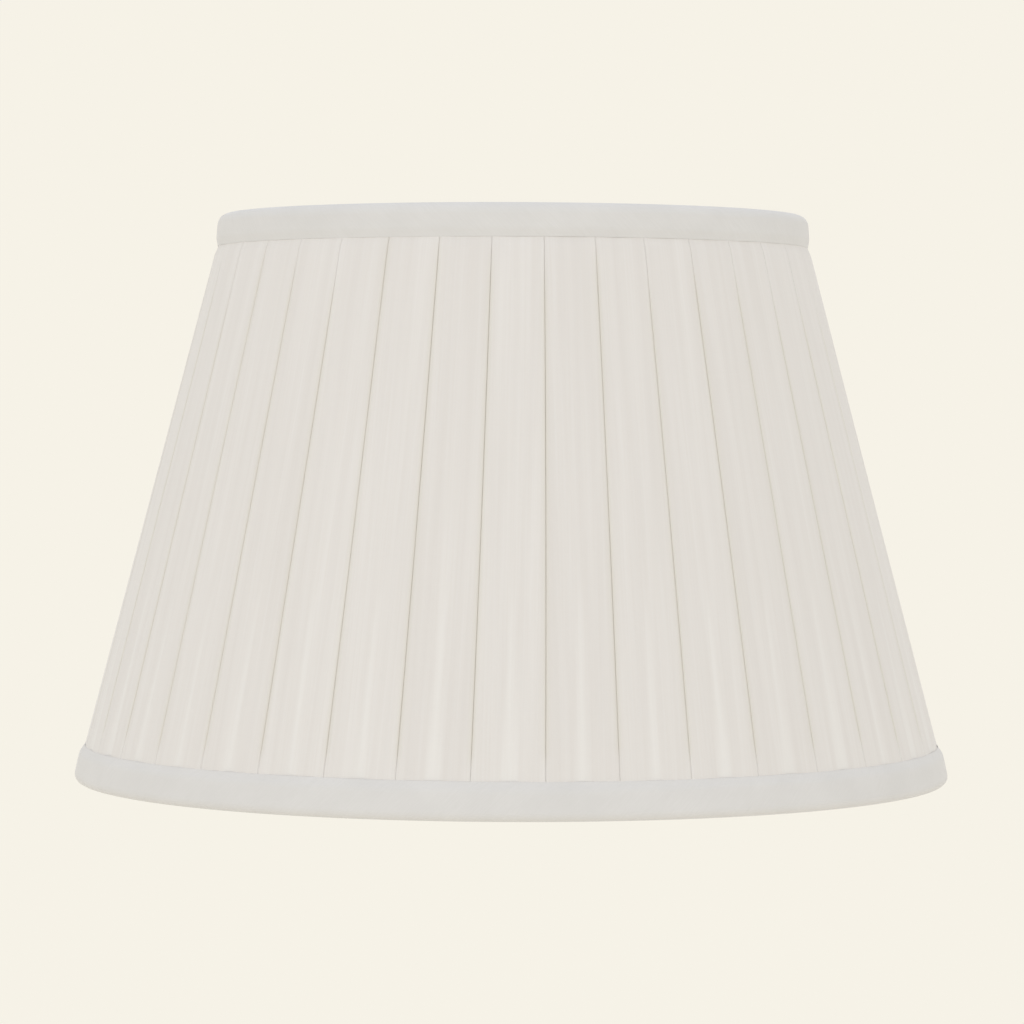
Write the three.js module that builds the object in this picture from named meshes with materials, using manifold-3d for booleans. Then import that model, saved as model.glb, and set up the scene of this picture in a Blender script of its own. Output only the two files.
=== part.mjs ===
// A box-pleated empire lamp shade: a pleated fabric cover and a plain lining on a
// welded wire frame, bound at both rims, with a tilting gimbal fitter at the top.
// Millimetres, +Z up. The origin is on the shade's axis, level with the bottom rim.
import * as THREE from "three";
import { mergeVertices } from "three/addons/utils/BufferGeometryUtils.js";
import Module from "manifold-3d";

const wasm = await Module();
wasm.setup();

// ---- Driving dimensions ----

// The shade. Both diameters are those of the cover's cone, carried on to the rims.
const baseDiameter = 356;
const topDiameter = 235;
const shadeHeight = 230.4;

// Cloth.
const pleatCount = 38;
const pleatGap = 1.4; // the slit between two neighbouring pleats
const pleatDepth = 1.0; // how far the slit is recessed
const firstPleatAzimuth = 4.8; // degrees, of the slit nearest the front
const coverThickness = 1.5;
const topPinch = 1.3; // how far the top binding draws the pleats in
const bottomPinch = 0.55;
const pinchRun = 3; // length over which the pleats are drawn in at the top
const liningThickness = 0.6;
const bindingThickness = 1.1;
const topBindingHeight = 13.5;
const bottomBindingHeight = 15;
const bottomBindingInside = 11; // height of the binding's leg inside the shade
const topBindingLean = 0.08; // the top binding stands nearly upright
const topBindingRound = 4.5; // rounding radii of the bindings' edges
const bottomBindingRound = 3.3;
const insideRound = 1.8;
const neatenerWidth = 6;

// Wire frame.
const ringWire = 3.5;
const strutWire = 3;
const armWire = 3.5;
const armCount = 3;
const strutsPerArm = 2;
const armBendIn = 8; // where an arm bends, from the lining and from the hoop
const armAboveHoopMiddle = 1;

// Gimbal fitter, for a lampholder with a 40 mm skirt, and its reducer.
const pivotDrop = 30; // pivot line below the top rim
const fitterBore = 41.5;
const fitterRim = 6.25; // width of the fitter ring's flat
const fitterThickness = 1.5;
const fitterDrop = 7; // the fitter ring's top face below the pivot line
const earWidth = 10;
const earStandOff = 0.2; // the ears stand this far outside the flat
const hoopClearance = 2.3; // between the ears and the hoop
const hoopThickness = 1.2;
const hoopHeight = 10;
const rivetDiameter = 3.2;
const rivetHead = 6;
const rivetHeadThickness = 1.2;
const reducerBore = 28.5;
const reducerInset = 3; // the reducer's flange inside the fitter ring's rim
const reducerThickness = 1.5;

const fitGap = 0.3; // left between pieces that touch
const foldEase = 0.2; // the bindings' folds stand this much further off the cover
const roundSteps = 72; // facets around the shade
const wireSides = 8;

// ---- Sizes that follow ----

const coneSlope = (baseDiameter - topDiameter) / 2 / shadeHeight;
const lean = Math.atan(coneSlope);
const coneRadius = (z) => baseDiameter / 2 - coneSlope * z;
const topBindingFoot = shadeHeight - topBindingHeight;

// The middle of a flat panel lies this far inside its edges.
const panelSag = (baseDiameter / 2) * (1 - Math.cos(Math.PI / pleatCount));
const ringRadius = ringWire / 2 / Math.cos(lean);
const ringOffset = topPinch + coverThickness + panelSag + fitGap + ringRadius;
const liningOffset = ringOffset + ringRadius + fitGap;
const liningInside = (z) => coneRadius(z) - liningOffset - liningThickness;
const bindingInside = (z) => liningInside(z) - fitGap;

const clothBottom = bindingThickness + fitGap;
const clothTop = shadeHeight - bindingThickness - fitGap;
const bottomRingZ = clothBottom + ringWire / 2;
const topRingZ = clothTop - ringWire / 2;
const armZ = topRingZ - ringWire / 2 - fitGap - armWire / 2;
const armTop = armZ + armWire / 2 + fitGap;
const armUnderside = armZ - armWire / 2 - fitGap;

const pivotZ = shadeHeight - pivotDrop;
const fitterTop = pivotZ - fitterDrop;
const fitterBottom = fitterTop - fitterThickness;
const fitterRadius = fitterBore / 2 + fitterRim;
const earInside = fitterRadius + earStandOff;
const earOutside = earInside + fitterThickness;
const hoopInside = earOutside + hoopClearance;
const hoopOutside = hoopInside + hoopThickness;
const armAzimuths = Array.from({ length: armCount }, (_, i) => 90 + (i * 360) / armCount);

// ---- Shape helpers ----

const radians = THREE.MathUtils.degToRad;

// A closed outline of [radius, height] points turned about the shade's axis.
function turned(outline, steps = roundSteps) {
  const points = outline.map(([radius, z]) => new THREE.Vector2(radius, z));
  if (THREE.ShapeUtils.area(points) < 0) points.reverse();
  const startsOnAxis = points[0].x === 0;
  if (!startsOnAxis) points.push(points[0].clone());
  return new THREE.LatheGeometry(points, steps).rotateX(Math.PI / 2);
}

// Points of a quarter round about [radius, z], from one angle to another in degrees.
function roundCorner(radius, z, size, from, to, steps = 3) {
  return Array.from({ length: steps + 1 }, (_, i) => {
    const angle = radians(from + ((to - from) * i) / steps);
    return [radius + size * Math.cos(angle), z + size * Math.sin(angle)];
  });
}

// A wire of round section along a path of straight lines with eased bends.
function wire(diameter, corners, bend, steps) {
  const path = new THREE.CurvePath();
  let from = corners[0];
  for (let i = 1; i < corners.length - 1; i++) {
    const corner = corners[i];
    const start = corner.clone().add(from.clone().sub(corner).setLength(bend));
    const end = corner.clone().add(corners[i + 1].clone().sub(corner).setLength(bend));
    path.add(new THREE.LineCurve3(from, start));
    path.add(new THREE.QuadraticBezierCurve3(start, corner, end));
    from = end;
  }
  path.add(new THREE.LineCurve3(from, corners[corners.length - 1]));
  const section = new THREE.Shape();
  section.absarc(0, 0, diameter / 2, 0, 2 * Math.PI);
  return new THREE.ExtrudeGeometry(section, { steps, extrudePath: path, curveSegments: wireSides / 2 });
}

// A geometry as a solid that can be cut and joined, and back again.
function solid(geometry) {
  const bare = geometry.clone();
  bare.deleteAttribute("normal");
  bare.deleteAttribute("uv");
  const merged = mergeVertices(bare, 1e-4);
  return new wasm.Manifold(
    new wasm.Mesh({
      numProp: 3,
      vertProperties: merged.attributes.position.array,
      triVerts: new Uint32Array(merged.index.array),
    }),
  );
}

function geometryOf(made) {
  const mesh = made.getMesh();
  const geometry = new THREE.BufferGeometry();
  geometry.setAttribute("position", new THREE.BufferAttribute(mesh.vertProperties, 3));
  geometry.setIndex(new THREE.BufferAttribute(mesh.triVerts, 1));
  geometry.computeVertexNormals();
  return geometry;
}

// ---- Materials ----

const finish = (color, roughness, metalness = 0) =>
  new THREE.MeshStandardMaterial({ color, roughness, metalness });
const silk = () => finish(0xe2dfda, 0.75);
const satinTape = () => finish(0xdcd9d4, 0.6);
const liningCloth = () => finish(0xf0eee8, 0.8);
const whiteCoat = () => finish(0xeeeeea, 0.45);
const platedSteel = () => finish(0xb9b9b5, 0.35, 0.9);
const whitePlastic = () => finish(0xf2f1ec, 0.4);

const shade = new THREE.Group();

function place(name, geometry, material, azimuth = 0) {
  const mesh = new THREE.Mesh(geometry, material);
  mesh.name = name;
  mesh.rotation.z = radians(azimuth);
  shade.add(mesh);
}

// ---- Cloth ----

// How far the bindings draw the cover in from its cone at height z.
function pinch(z) {
  const low = bottomPinch * Math.max(0, 1 - z / bottomBindingHeight);
  const drawn = (z - (topBindingFoot - fitGap - pinchRun)) / pinchRun;
  return low + topPinch * THREE.MathUtils.clamp(drawn, 0, 1);
}

const coverOutside = (z) => coneRadius(z) - pinch(z);
const bindingFace = (z) => coverOutside(z) + fitGap + foldEase;

// The cover is a ring of flat panels, one to a pleat, with a slit between each two.
// Each column is a closed section: up the outside, and down the inside.
function pleatedCover() {
  const heights = [
    clothBottom,
    bottomBindingHeight,
    topBindingFoot - fitGap - pinchRun,
    topBindingFoot - fitGap,
    clothTop,
  ];
  const rows = heights.length;
  const pitch = (2 * Math.PI) / pleatCount;
  const positions = [];
  for (let pleat = 0; pleat < pleatCount; pleat++) {
    const slit = radians(firstPleatAzimuth - 90) + pleat * pitch;
    for (const side of [0, 1, -1]) {
      const recess = side === 0 ? pleatDepth : 0;
      const addPoint = (radius, z) => {
        const edge = side * (pleatGap / 2 / radius) + (side < 0 ? pitch : 0);
        positions.push(radius * Math.cos(slit + edge), radius * Math.sin(slit + edge), z);
      };
      heights.forEach((z) => addPoint(coverOutside(z) - recess, z));
      [...heights].reverse().forEach((z) => addPoint(coverOutside(z) - coverThickness, z));
    }
  }
  const columns = pleatCount * 3;
  const loop = rows * 2;
  const index = [];
  for (let i = 0; i < columns; i++) {
    for (let j = 0; j < loop; j++) {
      const a = i * loop + j;
      const b = ((i + 1) % columns) * loop + j;
      const c = ((i + 1) % columns) * loop + ((j + 1) % loop);
      const d = i * loop + ((j + 1) % loop);
      index.push(a, b, c, a, c, d);
    }
  }
  const geometry = new THREE.BufferGeometry();
  geometry.setAttribute("position", new THREE.Float32BufferAttribute(positions, 3));
  geometry.setIndex(index);
  geometry.computeVertexNormals();
  return geometry;
}

// The lining is a plain cone inside the struts, slit from the top for each arm.
function lining() {
  const outside = (z) => coneRadius(z) - liningOffset;
  let cone = solid(
    turned([
      [outside(clothBottom), clothBottom],
      [outside(clothTop), clothTop],
      [liningInside(clothTop), clothTop],
      [liningInside(clothBottom), clothBottom],
    ]),
  );
  for (const azimuth of armAzimuths) {
    const depth = shadeHeight - armUnderside;
    const slit = new THREE.BoxGeometry(20, armWire + 2 * fitGap, depth)
      .translate(liningInside(armZ), 0, armUnderside + depth / 2)
      .rotateZ(radians(azimuth));
    cone = cone.subtract(solid(slit));
  }
  return geometryOf(cone);
}

// A neatener is a U of cloth on the lining's inner face, under an arm, which covers
// the end of the slit. It is cut from a thin cone by an extruded U.
function neatener() {
  const inner = armWire / 2 + fitGap;
  const outer = inner + neatenerWidth;
  const top = armTop - fitGap;
  const low = armZ - outer - fitGap;
  const band = turned([
    [bindingInside(low), low],
    [bindingInside(top), top],
    [bindingInside(top) - liningThickness, top],
    [bindingInside(low) - liningThickness, low],
  ]);
  const tail = top - armZ;
  const shape = new THREE.Shape();
  shape.moveTo(outer, tail);
  shape.lineTo(inner, tail);
  shape.absarc(0, 0, inner, 0, -Math.PI, true);
  shape.lineTo(-inner, tail);
  shape.lineTo(-outer, tail);
  shape.absarc(0, 0, outer, -Math.PI, 0, false);
  const reach = 30;
  const block = new THREE.ExtrudeGeometry(shape, { depth: reach, bevelEnabled: false, curveSegments: 8 })
    .rotateX(Math.PI / 2)
    .rotateZ(Math.PI / 2)
    .translate(bindingInside(armZ) - reach / 2, 0, armZ);
  return geometryOf(solid(band).intersect(solid(block)));
}

// Each binding is a folded tape: a leg outside the cover, a turn over the ring, and a
// leg inside the lining. The outline runs up the outside and back through the fold.
function topBinding() {
  const foot = bindingFace(topBindingFoot) + bindingThickness;
  const outside = (z) => foot - topBindingLean * (z - topBindingFoot);
  const shoulder = shadeHeight - topBindingRound;
  const insideTop = shadeHeight - insideRound;
  const insideFace = (z) => bindingInside(z) - bindingThickness;
  return turned([
    [foot, topBindingFoot],
    ...roundCorner(outside(shoulder) - topBindingRound, shoulder, topBindingRound, 0, 90, 4),
    ...roundCorner(insideFace(insideTop) + insideRound, insideTop, insideRound, 90, 180),
    [insideFace(armTop), armTop],
    [bindingInside(armTop), armTop],
    [bindingInside(clothTop), clothTop + fitGap],
    [bindingFace(clothTop), clothTop + fitGap],
    [bindingFace(topBindingFoot), topBindingFoot],
  ]);
}

function bottomBinding() {
  const outside = (z) => bindingFace(z) + bindingThickness;
  const insideFace = (z) => bindingInside(z) - bindingThickness;
  const heel = outside(bottomBindingRound);
  return turned([
    [outside(bottomBindingHeight), bottomBindingHeight],
    [bindingFace(bottomBindingHeight), bottomBindingHeight],
    [bindingFace(bindingThickness), bindingThickness],
    [bindingInside(clothBottom), bindingThickness],
    [bindingInside(bottomBindingInside), bottomBindingInside],
    [insideFace(bottomBindingInside), bottomBindingInside],
    ...roundCorner(insideFace(insideRound) + insideRound, insideRound, insideRound, 180, 270),
    ...roundCorner(heel - bottomBindingRound, bottomBindingRound, bottomBindingRound, 270, 360, 4),
  ]);
}

place("pleated_cover", pleatedCover(), silk());
place("lining", lining(), liningCloth());
place("top_binding", topBinding(), satinTape());
place("bottom_binding", bottomBinding(), satinTape());
armAzimuths.forEach((azimuth, i) => place(`lining_neatener_${i + 1}`, neatener(), liningCloth(), azimuth));

// ---- Wire frame ----

const frameRadius = (z) => coneRadius(z) - ringOffset;

function ring(z) {
  const outline = roundCorner(frameRadius(z), z, ringWire / 2, 0, 360 - 360 / wireSides, wireSides - 1);
  return turned(outline);
}

// A strut lies on the frame's cone and stops just short of the ring at each end.
function strut() {
  const start = new THREE.Vector3(frameRadius(bottomRingZ), 0, bottomRingZ);
  const end = new THREE.Vector3(frameRadius(topRingZ), 0, topRingZ);
  const along = end.clone().sub(start).setLength(ringWire / 2 + fitGap);
  return wire(strutWire, [start.add(along), end.sub(along)], 0, 1);
}

// An arm lies under the top ring, runs in through the lining, slopes down, and
// levels out to meet the gimbal hoop.
function spiderArm() {
  const hoopZ = pivotZ + armAboveHoopMiddle;
  const hoopEnd = hoopOutside + fitGap;
  const corners = [
    new THREE.Vector3(frameRadius(topRingZ) + ringWire / 4, 0, armZ),
    new THREE.Vector3(liningInside(armZ) - armBendIn, 0, armZ),
    new THREE.Vector3(hoopEnd + armBendIn, 0, hoopZ),
    new THREE.Vector3(hoopEnd, 0, hoopZ),
  ];
  return wire(armWire, corners, armBendIn * 0.6, 30);
}

place("top_ring", ring(topRingZ), whiteCoat());
place("bottom_ring", ring(bottomRingZ), whiteCoat());
const strutCount = armCount * strutsPerArm;
for (let i = 0; i < strutCount; i++) {
  const azimuth = armAzimuths[0] + ((i + 0.5) * 360) / strutCount;
  place(`strut_${i + 1}`, strut(), whiteCoat(), azimuth);
}
armAzimuths.forEach((azimuth, i) => place(`spider_arm_${i + 1}`, spiderArm(), whiteCoat(), azimuth));

// ---- Gimbal fitter ----

// A bore along X through both sides at the pivot line.
function pivotBore() {
  const radius = rivetDiameter / 2 + fitGap;
  const bore = new THREE.CylinderGeometry(radius, radius, 3 * hoopOutside, 16);
  return solid(bore.rotateZ(Math.PI / 2).translate(0, 0, pivotZ));
}

// The hoop is an upright strip of steel, bored at both ends of the pivot line.
function gimbalHoop() {
  const hoop = turned(
    [
      [hoopInside, pivotZ - hoopHeight / 2],
      [hoopOutside, pivotZ - hoopHeight / 2],
      [hoopOutside, pivotZ + hoopHeight / 2],
      [hoopInside, pivotZ + hoopHeight / 2],
    ],
    48,
  );
  return geometryOf(solid(hoop).subtract(pivotBore()));
}

// The fitter ring is a flat washer with an ear turned up at each end of the pivot
// line. A lampholder's shade ring clamps the washer.
function fitterRing() {
  const washer = turned(
    [
      [fitterBore / 2, fitterBottom],
      [fitterRadius, fitterBottom],
      [fitterRadius, fitterTop],
      [fitterBore / 2, fitterTop],
    ],
    48,
  );
  const earShape = new THREE.Shape();
  earShape.moveTo(-earWidth / 2, fitterBottom);
  earShape.lineTo(earWidth / 2, fitterBottom);
  earShape.lineTo(earWidth / 2, pivotZ);
  earShape.absarc(0, pivotZ, earWidth / 2, 0, Math.PI, false);
  earShape.lineTo(-earWidth / 2, fitterBottom);
  const ear = new THREE.ExtrudeGeometry(earShape, {
    depth: fitterThickness,
    bevelEnabled: false,
    curveSegments: 8,
  })
    .rotateX(Math.PI / 2)
    .rotateZ(Math.PI / 2)
    .translate(earInside, 0, 0);
  const footReach = earOutside - fitterRadius + fitterRim / 2;
  const foot = new THREE.BoxGeometry(footReach, earWidth, fitterThickness).translate(
    earOutside - footReach / 2,
    0,
    fitterBottom + fitterThickness / 2,
  );
  let made = solid(washer);
  for (const turn of [0, Math.PI]) {
    made = made.add(solid(foot.clone().rotateZ(turn)));
    made = made.add(solid(ear.clone().rotateZ(turn)));
  }
  return geometryOf(made.subtract(pivotBore()));
}

// A pivot rivet: a head outside the hoop, a shank through hoop and ear, and a
// spread end inside the ear. It is turned about +Z and then laid along +X.
function pivotRivet() {
  const head = rivetHead / 2;
  const shank = rivetDiameter / 2;
  const inside = earInside - fitGap;
  const outside = hoopOutside + fitGap;
  return turned(
    [
      [0, inside - rivetHeadThickness],
      [head * 0.8, inside - rivetHeadThickness],
      [head * 0.9, inside],
      [shank, inside],
      [shank, outside],
      [head, outside],
      [head * 0.6, outside + rivetHeadThickness],
      [0, outside + rivetHeadThickness],
    ],
    16,
  )
    .rotateY(Math.PI / 2)
    .translate(0, 0, pivotZ);
}

// The reducer is a flanged plastic ring that drops into the fitter ring and takes a
// lampholder with a smaller skirt.
function reducerRing() {
  const spigot = fitterBore / 2 - fitGap;
  const flange = fitterRadius - reducerInset;
  const flangeBottom = fitterTop + fitGap;
  return turned(
    [
      [reducerBore / 2, fitterBottom],
      [spigot, fitterBottom],
      [spigot, flangeBottom],
      [flange, flangeBottom],
      [flange, flangeBottom + reducerThickness],
      [reducerBore / 2, flangeBottom + reducerThickness],
    ],
    48,
  );
}

place("gimbal_hoop", gimbalHoop(), whiteCoat());
place("fitter_ring", fitterRing(), platedSteel());
place("pivot_rivet_right", pivotRivet(), platedSteel());
place("pivot_rivet_left", pivotRivet(), platedSteel(), 180);
place("reducer_ring", reducerRing(), whitePlastic());

export default shade;
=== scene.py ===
"""A box-pleated empire lamp shade: the fine cloth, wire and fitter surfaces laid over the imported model, with
their finishes, a plain pale sweep, soft light and the camera. Metres, +Z up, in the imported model's frame."""
import math

import bmesh
import bpy
import numpy as np
from mathutils import Euler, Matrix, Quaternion, Vector


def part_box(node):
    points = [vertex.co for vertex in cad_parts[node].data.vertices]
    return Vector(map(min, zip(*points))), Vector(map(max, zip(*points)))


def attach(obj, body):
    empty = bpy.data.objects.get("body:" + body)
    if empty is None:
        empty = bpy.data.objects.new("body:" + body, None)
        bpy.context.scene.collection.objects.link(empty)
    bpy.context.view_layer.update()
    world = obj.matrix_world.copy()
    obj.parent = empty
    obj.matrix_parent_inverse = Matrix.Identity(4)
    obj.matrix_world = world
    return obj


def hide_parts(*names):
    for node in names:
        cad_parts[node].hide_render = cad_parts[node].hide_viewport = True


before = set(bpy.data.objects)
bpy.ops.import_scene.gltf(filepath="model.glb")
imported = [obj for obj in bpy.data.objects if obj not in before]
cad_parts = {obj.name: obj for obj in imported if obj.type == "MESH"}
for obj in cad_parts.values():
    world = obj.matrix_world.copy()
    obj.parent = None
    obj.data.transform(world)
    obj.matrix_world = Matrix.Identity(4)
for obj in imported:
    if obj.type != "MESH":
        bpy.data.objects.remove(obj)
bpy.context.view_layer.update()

MM = 0.001
rng = np.random.default_rng(38)


# ---- Sizes taken from the imported model ----

def box(node):
    """Lowest and highest corner of a node."""
    low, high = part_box(node)
    return np.array(low), np.array(high)


def ring_line(node):
    """Wire diameter, centre-line height and centre-line radius of a wire ring."""
    low, high = box(node)
    wire = high[2] - low[2]
    return wire, (low[2] + high[2]) / 2, high[0] - wire / 2


RING_WIRE, BOTTOM_RING_Z, BOTTOM_RING_RADIUS = ring_line("bottom_ring")
_, TOP_RING_Z, TOP_RING_RADIUS = ring_line("top_ring")
SLOPE = (BOTTOM_RING_RADIUS - TOP_RING_RADIUS) / (TOP_RING_Z - BOTTOM_RING_Z)
LEAN = math.atan(SLOPE)

SHADE_HEIGHT = box("top_binding")[1][2]
TOP_BINDING_FOOT = box("top_binding")[0][2]
BOTTOM_BINDING_TOP = box("bottom_binding")[1][2]
CLOTH_BOTTOM, CLOTH_TOP = box("pleated_cover")[0][2], box("pleated_cover")[1][2]

# Cloth sizes that the maker sets.
BOTTOM_PINCH = 0.55 * MM  # how far each binding draws the cover in
TOP_PINCH = 0.5 * MM
PINCH_RUN = 3 * MM
FIT_GAP = 0.3 * MM
LINING_THICKNESS = 0.6 * MM

# Wire frame.
arm_low, arm_high = box("spider_arm_1")
ARM_WIRE = arm_high[0] - arm_low[0]
ARM_Z = arm_high[2] - ARM_WIRE / 2
ARM_HOOP_Z = arm_low[2] + ARM_WIRE / 2
ARM_OUTER_END, ARM_INNER_END = arm_high[1], arm_low[1]
ARM_AZIMUTHS = math.pi / 2 + np.arange(3) * 2 * math.pi / 3
STRUTS = 6
STRUT_AZIMUTHS = ARM_AZIMUTHS[0] + (np.arange(STRUTS) + 0.5) * 2 * math.pi / STRUTS
STRUT_WIRE = 3 * MM

# Gimbal fitter.
hoop_low, hoop_high = box("gimbal_hoop")
HOOP_OUTSIDE = hoop_high[0]
HOOP_HEIGHT = hoop_high[2] - hoop_low[2]
HOOP_Z = (hoop_low[2] + hoop_high[2]) / 2
HOOP_THICKNESS = 1.2 * MM
RIVET_SHANK = 1.6 * MM
RIVET_HOLE = RIVET_SHANK + FIT_GAP
fitter_low, fitter_high = box("fitter_ring")
FITTER_THICKNESS = 1.5 * MM
FITTER_MIDDLE = fitter_low[2] + FITTER_THICKNESS / 2
FITTER_RADIUS = fitter_high[1]
FITTER_BORE = 41.5 * MM
EAR_X = fitter_high[0] - FITTER_THICKNESS / 2
EAR_WIDTH = 10 * MM
EAR_BEND = 0.9 * MM  # to the middle of the sheet
REDUCER_BORE = 28.5 * MM
REDUCER_THICKNESS = 1.5 * MM


def ease(x):
    """0 below 0, 1 above 1, and 3 x squared less 2 x cubed between."""
    x = np.clip(x, 0, 1)
    return x * x * (3 - 2 * x)


def pinch(z):
    """How far the bindings draw the cover in from its cone at height z."""
    low = BOTTOM_PINCH * np.clip(1 - z / BOTTOM_BINDING_TOP, 0, 1)
    return low + TOP_PINCH * ease((z - (TOP_BINDING_FOOT - FIT_GAP - PINCH_RUN)) / PINCH_RUN)


COVER_FOOT_RADIUS = box("pleated_cover")[1][0] + pinch(CLOTH_BOTTOM)
LINING_FOOT_RADIUS = box("lining")[1][0]


def cover_face(z):
    """Radius of the cover's outer face: its cone less the pinch."""
    return COVER_FOOT_RADIUS - SLOPE * (z - CLOTH_BOTTOM) - pinch(z)


def lining_face(z):
    """Radius of the lining's outer face."""
    return LINING_FOOT_RADIUS - SLOPE * (z - CLOTH_BOTTOM)


def lining_inside(z):
    return lining_face(z) - LINING_THICKNESS


# ---- Surfaces ----

def joined(*coordinates):
    """Points from arrays or numbers that hold one coordinate each."""
    return np.stack(np.broadcast_arrays(*coordinates), axis=-1)


def distances(line):
    """Distance along a line of points, from its first one."""
    return np.concatenate([[0], np.cumsum(np.linalg.norm(np.diff(line, axis=0), axis=1))])


def spaced(line, step):
    """The same line with its points at even distances."""
    run = distances(line)
    at = np.linspace(0, run[-1], max(2, round(run[-1] / step) + 1))
    return joined(*(np.interp(at, run, values) for values in line.T))


def eased(corners, bends, steps=6):
    """A line through the corners with each turned on an arc of its own radius, or kept sharp where that is 0,
    as it is at both ends. The arc of radius b touches both sides at b / tan(half the corner's angle) from
    the corner."""
    corners = np.asarray(corners, float)
    line = []
    for i, (corner, bend) in enumerate(zip(corners, bends)):
        if bend == 0:
            line.append(corner)
            continue
        back, on = corners[i - 1] - corner, corners[i + 1] - corner
        back, on = back / np.linalg.norm(back), on / np.linalg.norm(on)
        half = math.acos(np.clip(back @ on, -1, 1)) / 2
        middle = (back + on) / np.linalg.norm(back + on)
        centre = corner + middle * bend / math.sin(half)
        turn = np.linspace(-1, 1, steps + 1) * (math.pi / 2 - half)
        side = (on - back) / np.linalg.norm(on - back)
        line.extend(centre + bend * (np.outer(np.sin(turn), side) - np.outer(np.cos(turn), middle)))
    return np.array(line)


def face_corners(values):
    """The values at the four corners of each face of a grid."""
    return np.stack([values[:-1, :-1], values[:-1, 1:], values[1:, 1:], values[1:, :-1]], axis=2)


def grid(points, around=False, loop=False, keep=None):
    """Points and four-sided faces of a grid, rows by columns. The last column joins the first if around,
    and the last row joins the first if loop. keep says which faces stay."""
    rows, columns = points.shape[:2]
    index = np.arange(rows * columns).reshape(rows, columns)
    if around:
        index = np.concatenate([index, index[:, :1]], axis=1)
    if loop:
        index = np.concatenate([index, index[:1]], axis=0)
    faces = face_corners(index)
    faces = faces.reshape(-1, 4) if keep is None else faces[keep]
    return points.reshape(-1, 3), faces


def mesh_object(name, grids, material, cloth=None, keep=None, marks=None, weld=False):
    """An object from one or more grids. cloth is the distance across and along the flat cloth at a grid's
    corners, and marks are named values at its points. weld merges the points that meet, at poles and where
    grids join."""
    starts = np.cumsum([0] + [len(points) for points, _ in grids])
    points = np.concatenate([points for points, _ in grids])
    faces = np.concatenate([faces + start for (_, faces), start in zip(grids, starts)])
    mesh = bpy.data.meshes.new(name)
    mesh.from_pydata(points, [], faces)
    if cloth is not None:
        corners = face_corners(cloth)
        corners = corners if keep is None else corners[keep]
        mesh.uv_layers.new(name="cloth").data.foreach_set("uv", corners.astype(np.float32).ravel())
    for mark, values in (marks or {}).items():
        mesh.attributes.new(mark, "FLOAT", "POINT").data.foreach_set("value", values.astype(np.float32).ravel())
    if weld:
        work = bmesh.new()
        work.from_mesh(mesh)
        bmesh.ops.remove_doubles(work, verts=work.verts, dist=0.002 * MM)
        bmesh.ops.delete(work, geom=[v for v in work.verts if not v.link_faces], context="VERTS")
        work.to_mesh(mesh)
        work.free()
    mesh.polygons.foreach_set("use_smooth", np.ones(len(mesh.polygons), bool))
    mesh.materials.append(material)
    made = bpy.data.objects.new(name, mesh)
    bpy.context.scene.collection.objects.link(made)
    return made


def piece(name, node, *grids, slot, body="shade", **details):
    """A piece of the shade: an object with the finish of its slot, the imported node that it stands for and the
    body that it rides on."""
    made = mesh_object(name, grids, FINISHES[slot], **details)
    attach(made, body)
    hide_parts(node)
    return made


def thicken(made, thickness, offset, edge=0.0):
    """Gives a sheet its thickness, and its square edges a small round."""
    wall = made.modifiers.new("thickness", "SOLIDIFY")
    wall.thickness = thickness
    wall.offset = offset
    if edge:
        rounding = made.modifiers.new("edge", "BEVEL")
        rounding.width = edge
        rounding.segments = 2
        rounding.limit_method = "ANGLE"
        rounding.angle_limit = math.radians(50)


def turned(outline, azimuths):
    """An outline of (radius, height) points carried round Z: (r cos a, r sin a, z) at each azimuth a."""
    radius, height = outline[..., 0], outline[..., 1]
    if outline.ndim == 2:
        radius, height = radius[:, None], height[:, None]
    return joined(radius * np.cos(azimuths), radius * np.sin(azimuths), height)


def full_turn(steps):
    return np.linspace(0, 2 * math.pi, steps, endpoint=False)


def closed_turn(azimuths):
    """The azimuths, and the first one again a full turn on."""
    return np.append(azimuths, azimuths[0] + 2 * math.pi)


def nearest_turn(angle):
    """The same angle, brought to within half a turn of zero."""
    return (angle + math.pi) % (2 * math.pi) - math.pi


def upright(line, azimuth):
    """A line of (distance from the axis, height) points stood in the upright plane at an azimuth."""
    return joined(line[:, 0] * math.cos(azimuth), line[:, 0] * math.sin(azimuth), line[:, 1])


def wire_grid(line, radius, side, sides):
    """A wire of round section along a flat line. At each point the section is the circle
    r (cos p S + sin p T x S), with T along the line and S square to the line's plane. Domes close the ends."""
    along = np.gradient(line, axis=0)
    along /= np.linalg.norm(along, axis=1)[:, None]
    rise = np.radians([90, 60, 30])
    domes = []
    for end, way in ((0, -1), (-1, 1)):
        centres = line[end] + way * 0.5 * radius[end] * np.outer(np.sin(rise), along[end])
        domes.append((centres, radius[end] * np.cos(rise), np.repeat(along[end][None], 3, axis=0)))
    start, finish = domes
    centre = np.concatenate([start[0], line, finish[0][::-1]])
    size = np.concatenate([start[1], radius, finish[1][::-1]])
    along = np.concatenate([start[2], along, finish[2][::-1]])
    turn = full_turn(sides)[None, :, None]
    across = np.cos(turn) * side + np.sin(turn) * np.cross(along, side)[:, None]
    return grid(centre[:, None] + size[:, None, None] * across, around=True)


# ---- Finishes ----

class Value:
    """One output of a shader node. Arithmetic on it adds Math nodes."""

    def __init__(self, finish, node, output):
        self.finish = finish
        self.node = node
        self.socket = node.outputs[output] if node.outputs else None

    def math(self, operation, first, second):
        return self.finish.node("ShaderNodeMath", {"operation": operation}, {0: first, 1: second})

    def __add__(self, other):
        return self.math("ADD", self, other)

    def __sub__(self, other):
        return self.math("SUBTRACT", self, other)

    def __rsub__(self, other):
        return self.math("SUBTRACT", other, self)

    def __mul__(self, other):
        return self.math("MULTIPLY", self, other)

    __radd__ = __add__
    __rmul__ = __mul__


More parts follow.
